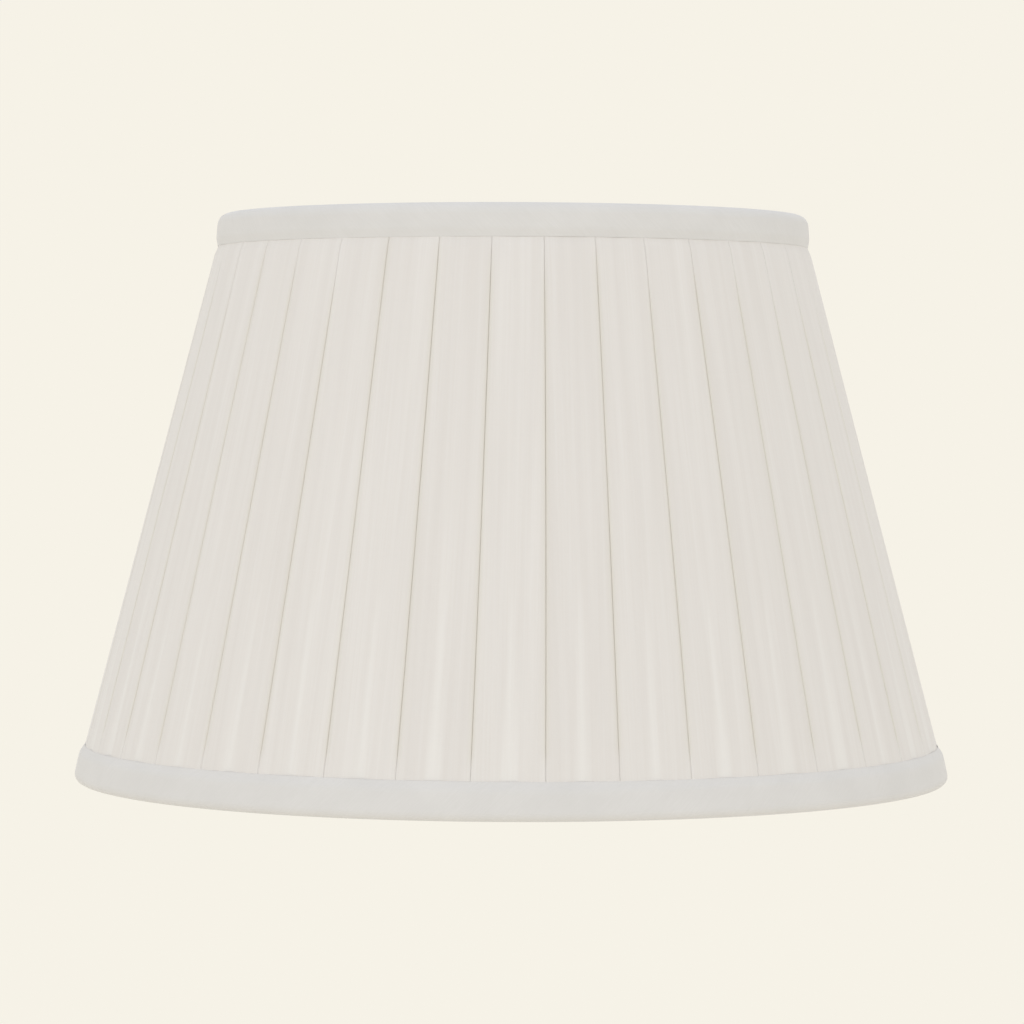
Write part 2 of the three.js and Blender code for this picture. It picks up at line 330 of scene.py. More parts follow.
class Finish:
    """A material built in code, around one Principled shader."""

    def __init__(self, name, sockets):
        self.material = bpy.data.materials.new(name)
        self.material.use_nodes = True
        self.tree = self.material.node_tree
        self.tree.nodes.clear()
        self.shader = self.node("ShaderNodeBsdfPrincipled", {}, sockets)
        self.output = self.node("ShaderNodeOutputMaterial", {}, {"Surface": self.shader})

    def node(self, kind, settings, inputs, output=0):
        """Adds a node: its settings first, then the values or links of its sockets. Gives one output."""
        made = self.tree.nodes.new(kind)
        for key, value in settings.items():
            setattr(made, key, value)
        for key, value in inputs.items():
            self.feed(made, key, value)
        return Value(self, made, output)

    def feed(self, node, key, value):
        """Links or sets one socket."""
        if isinstance(value, Value):
            self.tree.links.new(value.socket, node.inputs[key])
        else:
            socket = node.inputs[key]
            socket.default_value = (*value, 1.0) if socket.type == "RGBA" else value

    def surface(self, **values):
        """Links or sets the shader's own sockets."""
        for key, value in values.items():
            self.feed(self.shader.node, key.replace("_", " ").title(), value)

    def coordinates(self, across, along, source, turn=0.0):
        """Cloth or object coordinates, turned, and scaled so that across and along metres are one unit."""
        where = self.node("ShaderNodeTexCoord", {}, {}, output=source)
        if turn:
            where = self.node("ShaderNodeMapping", {}, {"Vector": where, "Rotation": (0, 0, turn)})
        scale = (1 / across, 1 / (along if source == "UV" else across), 1 / along)
        return self.node("ShaderNodeMapping", {}, {"Vector": where, "Scale": scale})

    def noise(self, across, along, source="UV", detail=2.0, turn=0.0):
        """Noise about 0.5, with its grain across by along metres."""
        where = self.coordinates(across, along, source, turn)
        settings = {"noise_dimensions": "2D"} if source == "UV" else {}
        return self.node("ShaderNodeTexNoise", settings, {"Vector": where, "Scale": 1.0, "Detail": detail})

    def threads(self, pitch, direction):
        """A sine wave from 0 to 1 over the cloth, with one thread to a pitch."""
        period = pitch * 20 / (2 * math.pi)  # the wave texture's own unit holds 20 radians
        settings = {"wave_type": "BANDS", "bands_direction": direction}
        inputs = {"Vector": self.coordinates(period, period, "UV"), "Scale": 1.0}
        return self.node("ShaderNodeTexWave", settings, inputs)

    def mark(self, name):
        """A named value that the piece's mesh carries."""
        return self.node("ShaderNodeAttribute", {"attribute_name": name}, {}, output="Fac")

    def blend(self, share, first, second):
        """A colour between two, by share."""
        return self.node("ShaderNodeMix", {"data_type": "RGBA"}, {0: share, 6: first, 7: second}, output=2)

    def bump(self, height, depth, strength):
        """Feeds the shader's normal from a height in units of depth metres."""
        normal = self.node("ShaderNodeBump", {}, {"Height": height, "Distance": depth, "Strength": strength})
        self.surface(Normal=normal)
        return normal

    def pass_light(self, share, tint, normal):
        """Mixes in light that passes through the cloth."""
        through = self.node("ShaderNodeBsdfTranslucent", {}, {"Color": tint, "Normal": normal})
        mixed = self.node("ShaderNodeMixShader", {}, {0: share, 1: self.shader, 2: through})
        self.feed(self.output.node, "Surface", mixed)


def silk_finish():
    """Off-white silk cloth. Fine warp streaks run up the pleats and short slubs run across them. The single
    layer between the tucks is painted paler, as painted light from behind showing through it, and a warm
    painted shade darkens the cloth in and beside each slit."""
    silk = Finish("pleated_silk", {"Sheen Weight": 0.32, "Sheen Roughness": 0.45})
    warp = silk.noise(0.7 * MM, 60 * MM, detail=3.0)
    weft = silk.noise(14 * MM, 0.5 * MM)
    bands = silk.noise(4.5 * MM, 160 * MM)
    weave = silk.threads(0.42 * MM, "Y")
    uneven = 1.5 * bands - 0.5 + silk.mark("tone")
    base = silk.blend(uneven, (0.82, 0.79, 0.772), (0.885, 0.862, 0.848))
    streaked = silk.blend((warp - 0.5) * 0.8 + 0.25, base, (0.80, 0.763, 0.73))
    # painted light: the single layer between the tucks is drawn paler, as if lit from behind through the cloth
    painted_through_light = silk.blend(silk.mark("single") * 0.42, streaked, (0.93, 0.92, 0.905))
    # painted shade: the cloth in and beside each open slit is drawn warm and dark, as shade in the slit
    shaded = silk.blend(silk.mark("slit_shade"), painted_through_light, (0.72, 0.685, 0.59))
    silk.surface(Base_Color=shaded, Roughness=0.62 + 0.2 * weft)
    normal = silk.bump(0.5 * warp + 0.35 * weft + 0.15 * weave, 0.12 * MM, 0.55)
    silk.pass_light(0.12, (0.93, 0.89, 0.82), normal)
    return silk.material


def tape_finish():
    """Bias-cut tape of the same cloth, pressed smooth, with its threads on the slant. A painted shadow line
    darkens its free edge on the cover and the edge of its lap.
    """
    tape = Finish("binding_tape", {"Sheen Weight": 0.03, "Sheen Roughness": 0.4})
    clouds = tape.noise(22 * MM, 16 * MM, detail=3.0)
    slant = math.radians(45)
    rising = tape.noise(9 * MM, 0.5 * MM, turn=slant)
    falling = tape.noise(0.5 * MM, 9 * MM, turn=slant)
    base = tape.blend(clouds, (0.66, 0.648, 0.643), (0.735, 0.722, 0.718))
    # painted shade: a thin dark line at the tape's free edge and along its lap
    edge_shaded = tape.blend(tape.mark("edge") * 0.25, base, (0.60, 0.58, 0.54))
    grained = tape.blend((rising - 0.5) * 0.5 + 0.12, edge_shaded, (0.62, 0.61, 0.59))
    tape.surface(Base_Color=grained, Roughness=0.52 + 0.16 * clouds)
    tape.bump(0.5 * rising + 0.5 * falling, 0.1 * MM, 0.4)
    return tape.material


def lining_finish():
    """Smooth white lining cloth with a fine plain weave, faint stretch lines, and painted shade in the groove
    of each seam.
    """
    cloth = Finish("lining_cloth", {"Sheen Weight": 0.08, "Sheen Roughness": 0.5})
    stretch = cloth.noise(9 * MM, 120 * MM, detail=3.0)
    across = cloth.noise(3 * MM, 0.35 * MM)
    up = cloth.noise(0.35 * MM, 3 * MM)
    base = cloth.blend(stretch, (0.84, 0.83, 0.80), (0.90, 0.89, 0.86))
    # painted shade along the groove in the middle of each seam
    seam_shaded = cloth.blend(cloth.mark("seam_shade") * 0.6, base, (0.66, 0.64, 0.59))
    cloth.surface(Base_Color=seam_shaded, Roughness=0.68 + 0.14 * across)
    normal = cloth.bump(0.5 * across + 0.5 * up, 0.08 * MM, 0.4)
    cloth.pass_light(0.3, (0.94, 0.90, 0.83), normal)
    return cloth.material


def white_wire_finish():
    """White powder coat: a fine orange-peel skin, a little creamier in patches."""
    coat = Finish("white_wire", {"Coat Weight": 0.15, "Coat Roughness": 0.2})
    peel = coat.noise(0.9 * MM, 0.9 * MM, "Object")
    patches = coat.noise(18 * MM, 18 * MM, "Object", detail=3.0)
    base = coat.blend(patches, (0.80, 0.79, 0.75), (0.88, 0.875, 0.85))
    coat.surface(Base_Color=base, Roughness=0.34 + 0.14 * peel)
    coat.bump(peel, 0.15 * MM, 0.35)
    return coat.material


def plated_finish():
    """Bright zinc plate on pressed steel: a soft spangle, fine rolling lines and duller patches."""
    plate = Finish("plated_steel", {"Metallic": 1.0})
    crystals = plate.coordinates(2.2 * MM, 2.2 * MM, "Object")
    cells = plate.node("ShaderNodeTexVoronoi", {}, {"Vector": crystals, "Scale": 1.0}, output="Color")
    spangle = plate.node("ShaderNodeRGBToBW", {}, {0: cells})
    dull = plate.noise(7 * MM, 7 * MM, "Object", detail=4.0)
    rolled = plate.noise(9 * MM, 0.25 * MM, "Object")
    base = plate.blend(0.55 * spangle + 0.45 * dull, (0.50, 0.51, 0.52), (0.74, 0.74, 0.72))
    plate.surface(Base_Color=base, Roughness=0.2 + 0.12 * spangle + 0.14 * dull)
    plate.bump(0.6 * rolled + 0.4 * spangle, 0.03 * MM, 0.4)
    return plate.material


def plastic_finish():
    """Moulded white plastic with a satin skin and faint flow marks."""
    plastic = Finish("white_plastic", {"IOR": 1.48})
    skin = plastic.noise(0.5 * MM, 0.5 * MM, "Object")
    flow = plastic.noise(12 * MM, 12 * MM, "Object", detail=3.0)
    base = plastic.blend(flow, (0.84, 0.83, 0.79), (0.90, 0.89, 0.86))
    plastic.surface(Base_Color=base, Roughness=0.30 + 0.12 * skin + 0.1 * flow)
    plastic.bump(skin, 0.05 * MM, 0.3)
    return plastic.material


FINISHES = {  # by slot
    "pleated_silk": silk_finish(),
    "binding_tape": tape_finish(),
    "lining_cloth": lining_finish(),
    "white_wire": white_wire_finish(),
    "plated_steel": plated_finish(),
    "white_plastic": plastic_finish(),
}


# ---- The pleated cover ----

PLEATS = 38
PITCH = 2 * math.pi / PLEATS
FIRST_SLIT = math.radians(4.9)  # from the front, towards the right
CLOTH = 0.2 * MM
SLIT = 0.02 * MM  # the open slit between two pleats
SHUT_SLIT = 0.01 * MM
MIDDLE_PLY = 0.82 * MM  # depths of the two hidden layers below the face
BACK_PLY = 1.27 * MM
TUCKS_MEET = 0.42  # share of the height below which the tucks part
ROLL_REACH = 0.7 * MM  # from a pleat's edge, over which its face rolls


def slit_azimuth(pleat, share):
    """Azimuth of a slit line at a share of the shade's height: even steps from the first slit, bunched a
    little five times round, and leaning by up to two degrees between foot and top."""
    even = FIRST_SLIT + pleat * PITCH
    bunching = np.radians(0.26) * np.cos(5 * (even - FIRST_SLIT - 2 * PITCH))
    leaning = np.radians(0.6 - 1.9 * np.sin(even) - 2.1 * np.cos(even)) * (0.5 - share)
    return even - bunching + leaning - math.pi / 2


def cover_heights():
    """Row heights: close together where the bindings draw the cover in, and open between."""
    foot = TOP_BINDING_FOOT - FIT_GAP - PINCH_RUN
    return np.concatenate([
        np.linspace(CLOTH_BOTTOM, BOTTOM_BINDING_TOP, 3)[:-1],
        np.linspace(BOTTOM_BINDING_TOP, 27 * MM, 5)[:-1],
        np.linspace(27 * MM, 40 * MM, 3)[:-1],
        np.linspace(40 * MM, foot - 20 * MM, 11)[:-1],
        np.linspace(foot - 20 * MM, foot, 4)[:-1],
        np.linspace(foot, foot + PINCH_RUN, 4)[:-1],
        np.linspace(foot + PINCH_RUN, CLOTH_TOP, 3),
    ])


def pleat_face(along, pitch, wedge, opened, wave):
    """Depth of a pleat's face below the cover's cone at shares along its pitch: a shallow hollow across the
    panel, a soft step down to the single layer between the tucks, and pressed edges that roll to the slit,
    each with a low ridge beside it. opened is 1 where the slit stands open and 0 where it is pressed shut."""
    hollow = 0.10 * MM * 4 * along * (1 - along)
    from_middle = np.abs(along - 0.5) * pitch
    single = ease((wedge / 2 - 0.2 * MM - from_middle) / (2.2 * MM)) * ease((wedge - 1.0 * MM) / (2.0 * MM))
    to_edge = np.minimum(along, 1 - along) * pitch
    rolled = 0.18 * MM * np.exp(-to_edge / ROLL_REACH) * (0.1 + 0.9 * opened)
    ridge = 0.05 * MM * opened * np.exp(-((to_edge / ROLL_REACH - 2) ** 2))
    return hollow + 0.28 * MM * single + rolled - ridge + wave, single


def half_section(pitch, wedge, opened, skew, offset):
    """Half of a pleat's section from the slit's middle line to the panel's: out along the back layer, round
    the inner fold, back along the middle layer, round the outer fold and out along the face. Gives the
    distance from the slit, the depth, the share of single layer and the share of painted slit shade, full on
    the tucked cloth and fading out onto the face beside the slit."""
    slit = SHUT_SLIT + (SLIT - SHUT_SLIT) * opened
    tuck = (pitch - wedge) / 2
    inner = (BACK_PLY - MIDDLE_PLY) / 2
    edge_depth, _ = pleat_face(slit / 2 / pitch, pitch, wedge, opened, offset + skew)
    outer = (MIDDLE_PLY - edge_depth) / 2
    bulge = outer * (0.15 + 0.45 * opened)
    edge = slit / 2 + bulge
    shape = np.broadcast_shapes(pitch.shape, edge.shape)

    back = (tuck - inner) * np.array([0, 1])
    round_inner = np.radians([55, 0, -55])
    inner_fold = tuck - inner + inner * np.cos(round_inner)
    middle = (tuck - inner) + (edge - (tuck - inner)) * np.array([0, 0.5, 1])
    round_outer = np.radians([60, 30, 0, -30, -60])
    outer_fold = edge - bulge * np.cos(round_outer)
    face = edge + (pitch / 2 - edge) * np.linspace(0, 1, 10) ** 1.35

    along = face / pitch
    face_depth, single = pleat_face(along, pitch, wedge, opened, offset + skew * (1 - 2 * along))
    depths = [
        np.broadcast_to(BACK_PLY, shape[:-1] + (2,)),
        np.broadcast_to((BACK_PLY + MIDDLE_PLY) / 2 + inner * np.sin(round_inner), shape[:-1] + (3,)),
        np.broadcast_to(MIDDLE_PLY, shape[:-1] + (3,)),
        (MIDDLE_PLY + edge_depth) / 2 + outer * np.sin(round_outer),
        face_depth,
    ]
    hidden = 2 + 3 + 3  # points on the back layer, the inner fold and the middle layer
    single = np.concatenate([np.zeros(shape[:-1] + (hidden + 5,)), single], axis=-1)
    coming_out = np.broadcast_to([0.9, 0.8, 0.7, 0.6, 0.5], shape[:-1] + (5,))
    # painted shade in the slit: full on the hidden cloth, fading over the outer fold and out onto the face
    slit_shade = [np.ones(shape[:-1] + (hidden,)), coming_out, 0.42 * np.exp((edge - face) / (0.85 * MM))]
    slit_shade = np.concatenate(slit_shade, axis=-1) * opened
    distance = np.concatenate([back, inner_fold, middle, outer_fold, face], axis=-1)
    return distance, np.concatenate(depths, axis=-1), single, slit_shade


def make_cover():
    """The cover: rows up the shade and one pleat's section after another round it. A point at distance d from
    a slit lies at that slit's azimuth plus d / R, with R the cover's radius at its height, and as far inside
    R as its depth. The tucks part below their meeting height as the pitch grows and the cloth doesn't. Each
    slit opens at its own height above the bottom binding and closes at its own below the top one. Each
    panel's middle line keeps to one thread of the cloth."""
    z = cover_heights()[:, None, None]
    share = z / SHADE_HEIGHT
    radius = cover_face(z)
    pleat = np.arange(PLEATS)[None, :, None]
    left, right = slit_azimuth(pleat, share), slit_azimuth(pleat + 1, share)
    pitch = radius * (right - left)
    meeting_pitch = cover_face(TUCKS_MEET * SHADE_HEIGHT) * PITCH
    pleat_width = 3 * meeting_pitch  # of flat cloth, in three layers

    def spread(low, high):
        return rng.uniform(low, high, (1, PLEATS, 1))

    wedge = 0.9 * MM + 1.8 * np.clip(radius * PITCH - meeting_pitch, 0, None) * spread(0.85, 1.2)
    opened_left = ease((share - spread(0.072, 0.09)) / 0.035) * ease((spread(0.86, 1.0) - share) / 0.09)
    opened_right = np.roll(opened_left, -1, axis=1)
    settled = ease((share - 0.06) / 0.06) * ease((0.95 - share) / 0.06)
    swaying = np.sin(2 * math.pi * (spread(0.6, 1.6) * share + spread(0, 1)))
    offset = settled * 0.025 * MM * (spread(-1, 1) + swaying)
    skew = settled * 0.05 * MM * spread(-1, 1)
    near = half_section(pitch, wedge, opened_left, skew, offset)
    far = [values[..., -2:0:-1] for values in half_section(pitch, wedge, opened_right, -skew, offset)]
    azimuth = np.concatenate([left + near[0] / radius, right - far[0] / radius], axis=-1)
    depth, single, slit_shade = (np.concatenate(pair, axis=-1) for pair in zip(near[1:], far[1:]))
    azimuth, depth, single, slit_shade = (a.reshape(len(z), -1) for a in (azimuth, depth, single, slit_shade))

    points = turned(joined(radius[..., 0] - depth, z[..., 0]), azimuth)
    steps = np.linalg.norm(np.roll(points, -1, axis=1) - points, axis=-1)
    run = np.concatenate([np.zeros((len(z), 1)), np.cumsum(steps, axis=1)[:, :-1]], axis=1)
    columns = run.shape[1] // PLEATS
    panel_middles = run[:, near[0].shape[-1] - 1::columns] - pleat_width * np.arange(PLEATS)
    across = run - np.repeat(panel_middles, columns, axis=1)
    across = np.append(across, across[:, :1] + pleat_width * PLEATS, axis=1)
    tone = np.repeat(rng.uniform(-0.05, 0.2, PLEATS), columns)
    cover = piece(
        "silk_cover", "pleated_cover", grid(points, around=True), slot="pleated_silk",
        cloth=joined(across, z[..., 0] / math.cos(LEAN)),
        marks={"single": single, "slit_shade": slit_shade, "tone": np.broadcast_to(tone, azimuth.shape)},
    )
    thicken(cover, CLOTH, -1)
    PLEATS * pleat_width


# ---- Bindings ----

INSIDE_LEG = 11 * MM  # height of the bottom binding's leg inside the shade
TOP_TAPE_LEAN = 0.08  # the top binding stands nearly upright
EDGE_STAND_OFF = -0.04 * MM  # each free edge is pressed a little into the cloth below
EDGE_RUN = 3.5 * MM  # over which the tape comes in to that edge
PRESSED_EDGE = 0.2  # its thickness there, as a share of the rest
LAP = math.pi / 2  # azimuth where a tape's end laps over its start, at the back


def tape_outline(line, half, swell, over):
    """The closed section of a folded tape round its centre line, which runs from its outer free edge to its
    inner one: half its thickness to each side, swelled on the outside, with a half round at each edge. over is
    1 where the tape goes over a rim and -1 where it goes under one. Gives the points, the way out from the
    line, how far along the tape each lies, and which are on the outside."""
    along = np.gradient(line, axis=0)
    along /= np.linalg.norm(along, axis=1)[:, None]
    outward = over * joined(along[:, 1], -along[:, 0])
    run = distances(line)
    turn = np.radians([75, 50, 25, 0, -25, -50, -75])[:, None]
    round_end = half[-1] * (np.sin(turn) * outward[-1] + np.cos(turn) * along[-1])
    round_start = -half[0] * (np.sin(turn) * outward[0] + np.cos(turn) * along[0])
    face = line + outward * (half + swell(run))[:, None]
    back = (line - outward * half[:, None])[::-1]
    parts = [
        (face, outward, run, np.ones(len(line))),
        (line[-1] + round_end, np.repeat(outward[-1:], 7, 0), np.full(7, run[-1]), np.zeros(7)),
        (back, outward[::-1], run[::-1], np.zeros(len(line))),
        (line[0] + round_start, np.repeat(outward[:1], 7, 0), np.zeros(7), np.zeros(7)),
    ]
    return [np.concatenate(values)[::over] for values in zip(*parts)]


def tape_azimuths():
    """Azimuths round a rim: even steps, and fine ones over the lap."""
    even = full_turn(16 * PLEATS)
    lap = LAP + np.linspace(-0.06, 0.13, 110)
    return np.sort(np.concatenate([even[(even < lap[0]) | (even > lap[-1])], lap]))


def make_tape(name, node, line, half, reach, ring_radius, share, over):
    """A binding: the tape's section carried round the rim. Its outer leg, of height reach, shows the slits
    below it as faint dips where they lie at its share of the shade's height, and pulls in and out a little
    along the rim. The tape's end is folded and lapped over its start on the slant."""
    azimuth = tape_azimuths()

    def swell(run):
        return 0.10 * MM * np.sin(np.pi * np.clip(run / reach, 0, 1))

    run = distances(line)
    pressed = half * (PRESSED_EDGE + (1 - PRESSED_EDGE) * ease(np.minimum(run, run[-1] - run) / EDGE_RUN))
    outline, outward, at, outer = tape_outline(line, pressed, swell, over)
    at, outer = at[:, None], outer[:, None]
    apart = np.abs(nearest_turn(azimuth[:, None] - slit_azimuth(np.arange(PLEATS), share)))
    dips = -0.03 * MM * np.exp(-((np.min(apart, axis=1) * ring_radius / (1.6 * MM)) ** 2))
    turns = np.array([[3], [7], [12], [19], [31], [47]])
    waves = 0.30 * MM / (turns + 3) * np.sin(turns * azimuth + rng.uniform(0, 2 * math.pi, turns.shape))
    drift = np.sum(waves, axis=0)
    leg = ease(1 - at / (0.95 * reach))
    past = (azimuth - LAP) * ring_radius - 0.9 * (at - reach / 2)
    lap = ease(past / (0.35 * MM)) * ease((12 * MM - past) / (11 * MM))
    push = leg * (dips + 0.5 * drift + 0.32 * MM * lap * outer)
    wander = 0.8 * drift * ease(1 - at / (0.5 * reach))
    section = outline[:, None] + outward[:, None] * push[..., None]
    section[..., 1] += wander
    points = turned(section, azimuth)
    around = closed_turn(azimuth) * ring_radius
    cloth = joined(around, np.append(at, at[:1], axis=0))
    # painted shadow along the lap's edge and, through the edge mark, at the tape's free edge on the cover
    lap_shade_line = np.exp(-((past / (0.4 * MM)) ** 2)) * leg
    edge = 0.15 * np.exp(-at / (0.5 * MM)) + 0.8 * lap_shade_line
    tape = piece(
        name, node, grid(points, around=True, loop=True), slot="binding_tape", cloth=cloth,
        marks={"edge": np.clip(edge, 0, 1)},
    )
    turn_in = 3 * MM
    flat = (2 * math.pi * ring_radius, run[-1] + 2 * turn_in)


def make_bindings():
    """Both bindings. Each centre line starts at the free edge on the cover, turns round the ring and ends
    at the free edge inside the lining. Both free edges are pressed in."""
    step = 0.75 * MM

    def outside(z, stand_off, half):
        return cover_face(z) + stand_off + half

    def inside(z, stand_off, half):
        return lining_inside(z) - stand_off - half

    def free_edge(side, z, half):
        return side(z, EDGE_STAND_OFF, PRESSED_EDGE * half), z

    half, stand_off = 0.35 * MM, 0.10 * MM
    foot, rim = TOP_BINDING_FOOT + half, SHADE_HEIGHT - half
    inner_foot = ARM_Z + ARM_WIRE / 2 + FIT_GAP + half
    at_foot = outside(foot, stand_off, half)
    corners = [
        free_edge(outside, foot, half), (at_foot - TOP_TAPE_LEAN * EDGE_RUN, foot + EDGE_RUN),
        (at_foot - TOP_TAPE_LEAN * (rim - foot), rim), (inside(rim, FIT_GAP, half), rim),
        free_edge(inside, inner_foot, half),
    ]
    line = spaced(eased(corners, [0, 8 * MM, 4.5 * MM - half, 1.8 * MM - half, 0]), step)
    make_tape("top_tape", "top_binding", line, half, SHADE_HEIGHT - TOP_BINDING_FOOT, TOP_RING_RADIUS, 0.96, 1)

    half, stand_off = 0.45 * MM, 0.6 * MM
    head, rim, inner_head = BOTTOM_BINDING_TOP - half, half, INSIDE_LEG - half
    corners = [
        free_edge(outside, head, half), (outside(head - EDGE_RUN, stand_off, half), head - EDGE_RUN),
        (outside(rim, stand_off, half), rim), (inside(rim, FIT_GAP, half), rim),
        free_edge(inside, inner_head, half),
    ]
    line = spaced(eased(corners, [0, 8 * MM, 2.7 * MM - half, 1.8 * MM - half, 0]), step)
    make_tape("bottom_tape", "bottom_binding", line, half, BOTTOM_BINDING_TOP, BOTTOM_RING_RADIUS, 0.05, -1)


# ---- Lining ----

SLIT_HALF = ARM_WIRE / 2 + FIT_GAP  # half the width of the lining's slit at each arm


def lining_azimuths():
    """Azimuths round the lining, as three sets: even steps, fine steps over the two seams, and the edges of
    the arms' slits, with the even steps cleared away near the others. Sorted from 0 to a full turn."""
    even = full_turn(300) + 0.004
    seams = np.concatenate([turn + np.linspace(-5, 5, 21) * MM / LINING_FOOT_RADIUS for turn in (0, math.pi)])
    half = SLIT_HALF / lining_inside(ARM_Z)
    slits = np.concatenate([[azimuth - half, azimuth + half] for azimuth in ARM_AZIMUTHS])
    special = np.concatenate([seams, slits]) % (2 * math.pi)
    apart = np.abs(nearest_turn(even[:, None] - special))
    return np.sort(np.concatenate([even[apart.min(axis=1) > 0.012], special]))


def make_lining():
    """The lining: a cone inside the struts, slit from the top for each arm. It is drawn in a little between
    the rims, gathers into short soft tucks near them, and has a seam at each side: a low ridge with a line in
    its middle."""
    azimuth = lining_azimuths()
    slit_foot = ARM_Z - SLIT_HALF
    low, high = INSIDE_LEG, slit_foot
    z = np.concatenate([
        np.linspace(CLOTH_BOTTOM, low, 3)[:-1],
        np.linspace(low, low + 30 * MM, 9)[:-1],
        np.linspace(low + 30 * MM, high - 26 * MM, 9)[:-1],
        np.linspace(high - 26 * MM, high, 8)[:-1],
        np.linspace(high, CLOTH_TOP, 4),
    ])[:, None]
    free = ease((z - low) / (8 * MM)) * ease((high + 4 * MM - z) / (8 * MM))
    near_rim = np.exp(-(z - low) / (11 * MM)) + np.exp(-(high + 4 * MM - z) / (9 * MM))
    wrinkles = sum(
        size * np.sin(turns * azimuth + rng.uniform(0, 2 * math.pi))
        for turns, size in ((23, 0.5), (41, 0.6), (67, 0.5), (89, 0.4))
    )
    strutted = 0.5 - 0.5 * np.cos(STRUTS * azimuth)
    aside = np.abs((azimuth + math.pi / 2) % math.pi - math.pi / 2) * lining_face(z)
    ridge = ease((4.5 * MM - aside) / (1.5 * MM))
    # the groove in the middle of each seam, which is also painted darker there as shade
    line = np.exp(-((aside / (0.5 * MM)) ** 2))
    drawn = free * (0.12 * MM * strutted + 0.08 * MM * np.clip(near_rim, 0, 1) * (1 + wrinkles))
    drawn = drawn + free * (0.14 * MM * ridge - 0.24 * MM * line)
    points = turned(joined(lining_face(z) - drawn, z), azimuth)
    middle = azimuth + np.diff(closed_turn(azimuth)) / 2
    from_arm = np.abs(middle[:, None] - ARM_AZIMUTHS) * lining_inside(ARM_Z)
    open_columns = np.any(from_arm < 0.5 * SLIT_HALF, axis=1)
    open_rows = (z[:-1, 0] + z[1:, 0]) / 2 > slit_foot
    keep = ~(open_rows[:, None] & open_columns[None])
    around = closed_turn(azimuth) * lining_face(SHADE_HEIGHT / 2)
    lining = piece(
        "lining_sheet", "lining", grid(points, around=True, keep=keep), slot="lining_cloth",
        cloth=joined(around, z / math.cos(LEAN)), keep=keep, marks={"seam_shade": line * free},
    )
    thicken(lining, LINING_THICKNESS, -1)
    slant = (CLOTH_TOP - CLOTH_BOTTOM) / math.cos(LEAN)
    seam_allowance = 5 * MM
    flat = (2 * math.pi * lining_face(CLOTH_BOTTOM) + 4 * seam_allowance, 1.03 * slant)
    area = slant * (2 * math.pi * lining_face(SHADE_HEIGHT / 2) + 4 * seam_allowance)


def make_neatener(number, azimuth):
    """A neatener: a U of cloth on the lining's inner face, under an arm. Its flat section, 2 w wide with
    rounded edges, follows a U of two short tails and a half circle, and gathers into small folds on the
    inside of the turn."""
    half_width, thickness = 3 * MM, LINING_THICKNESS
    bend = SLIT_HALF + half_width
    tail = ARM_WIRE / 2
    turn = np.linspace(0, -math.pi, 41)
    half_circle = joined(np.cos(turn), np.sin(turn))
    straight = np.linspace(tail, 0, 5)[:-1]
    line = np.concatenate([joined(bend, straight), bend * half_circle, joined(-bend, straight[::-1])])
    outward = np.concatenate([np.tile([1.0, 0.0], (4, 1)), half_circle, np.tile([-1.0, 0.0], (4, 1))])
    section = full_turn(36)
    squared = joined(np.cos(section), np.sin(section))
    squared = np.sign(squared) * np.abs(squared) ** np.array([0.45, 0.55])
    across, up = half_width * squared[:, 0], thickness / 2 * squared[:, 1]
    bent = np.concatenate([np.zeros(4), np.sin(np.linspace(0, math.pi, 41)), np.zeros(4)])
    folds = 0.10 * MM * bent * np.cos(np.arange(len(line)) * 2 * math.pi / 5)
    lift = folds[:, None] * ease((0.5 * half_width - across) / half_width) * (up > 0)
    ends = np.ones(len(line))
    ends[[0, -1]] = 0
    place = line[:, None] + outward[:, None] * (across * ends[:, None])[..., None]
    z = ARM_Z + place[..., 1]
    depth = FIT_GAP + thickness / 2 + (up + lift) * ends[:, None]
    radius = lining_inside(z) - depth
    points = turned(joined(radius, z), azimuth + place[..., 0] / radius)
    run = distances(line)
    cloth = joined(closed_turn(section) * half_width / math.pi * 2, run[:, None])
    neatener = piece(
        f"neatener_tape_{number}", f"lining_neatener_{number}", grid(points[:, ::-1], around=True),
        slot="lining_cloth", cloth=cloth, weld=True, marks={"seam_shade": np.zeros(points.shape[:2])},
    )
    reach = bend + half_width
    allowance = 2 * MM  # of each tail, glued under the binding
    flat = (2 * reach, reach + tail + allowance)


# ---- Wire frame ----

def ring_grid(wire, height, radius, sides=20, steps=192):
    """A wire ring: a circle of the wire's size carried round Z."""
    turn = full_turn(sides)
    outline = joined(radius + wire / 2 * np.cos(turn), height + wire / 2 * np.sin(turn))
    return grid(turned(outline, full_turn(steps)), around=True, loop=True)


def welded(line, wire, swelling, reach):
    """Radii along a wire that swell to a weld bead at each end: r (1 + s exp(-(d / reach) squared)), with d the
    distance from the nearer end."""
    run = distances(line)
    end = np.minimum(run, run[-1] - run)
    return wire / 2 * (1 + swelling * np.exp(-((end / reach) ** 2)))


def make_rings():
    for name in ("top_ring", "bottom_ring"):
        piece(f"{name}_wire", name, ring_grid(*ring_line(name)), slot="white_wire")


def make_wires(name, node, line, radii, azimuths, sides=18):
    """A wire of the same radii at each azimuth, along the same upright line."""
    for number, azimuth in enumerate(azimuths, 1):
        side = np.array([-math.sin(azimuth), math.cos(azimuth), 0])
        wire = wire_grid(upright(line, azimuth), radii, side, sides)
        piece(f"{name}_{number}", f"{node}_{number}", wire, slot="white_wire", weld=True)


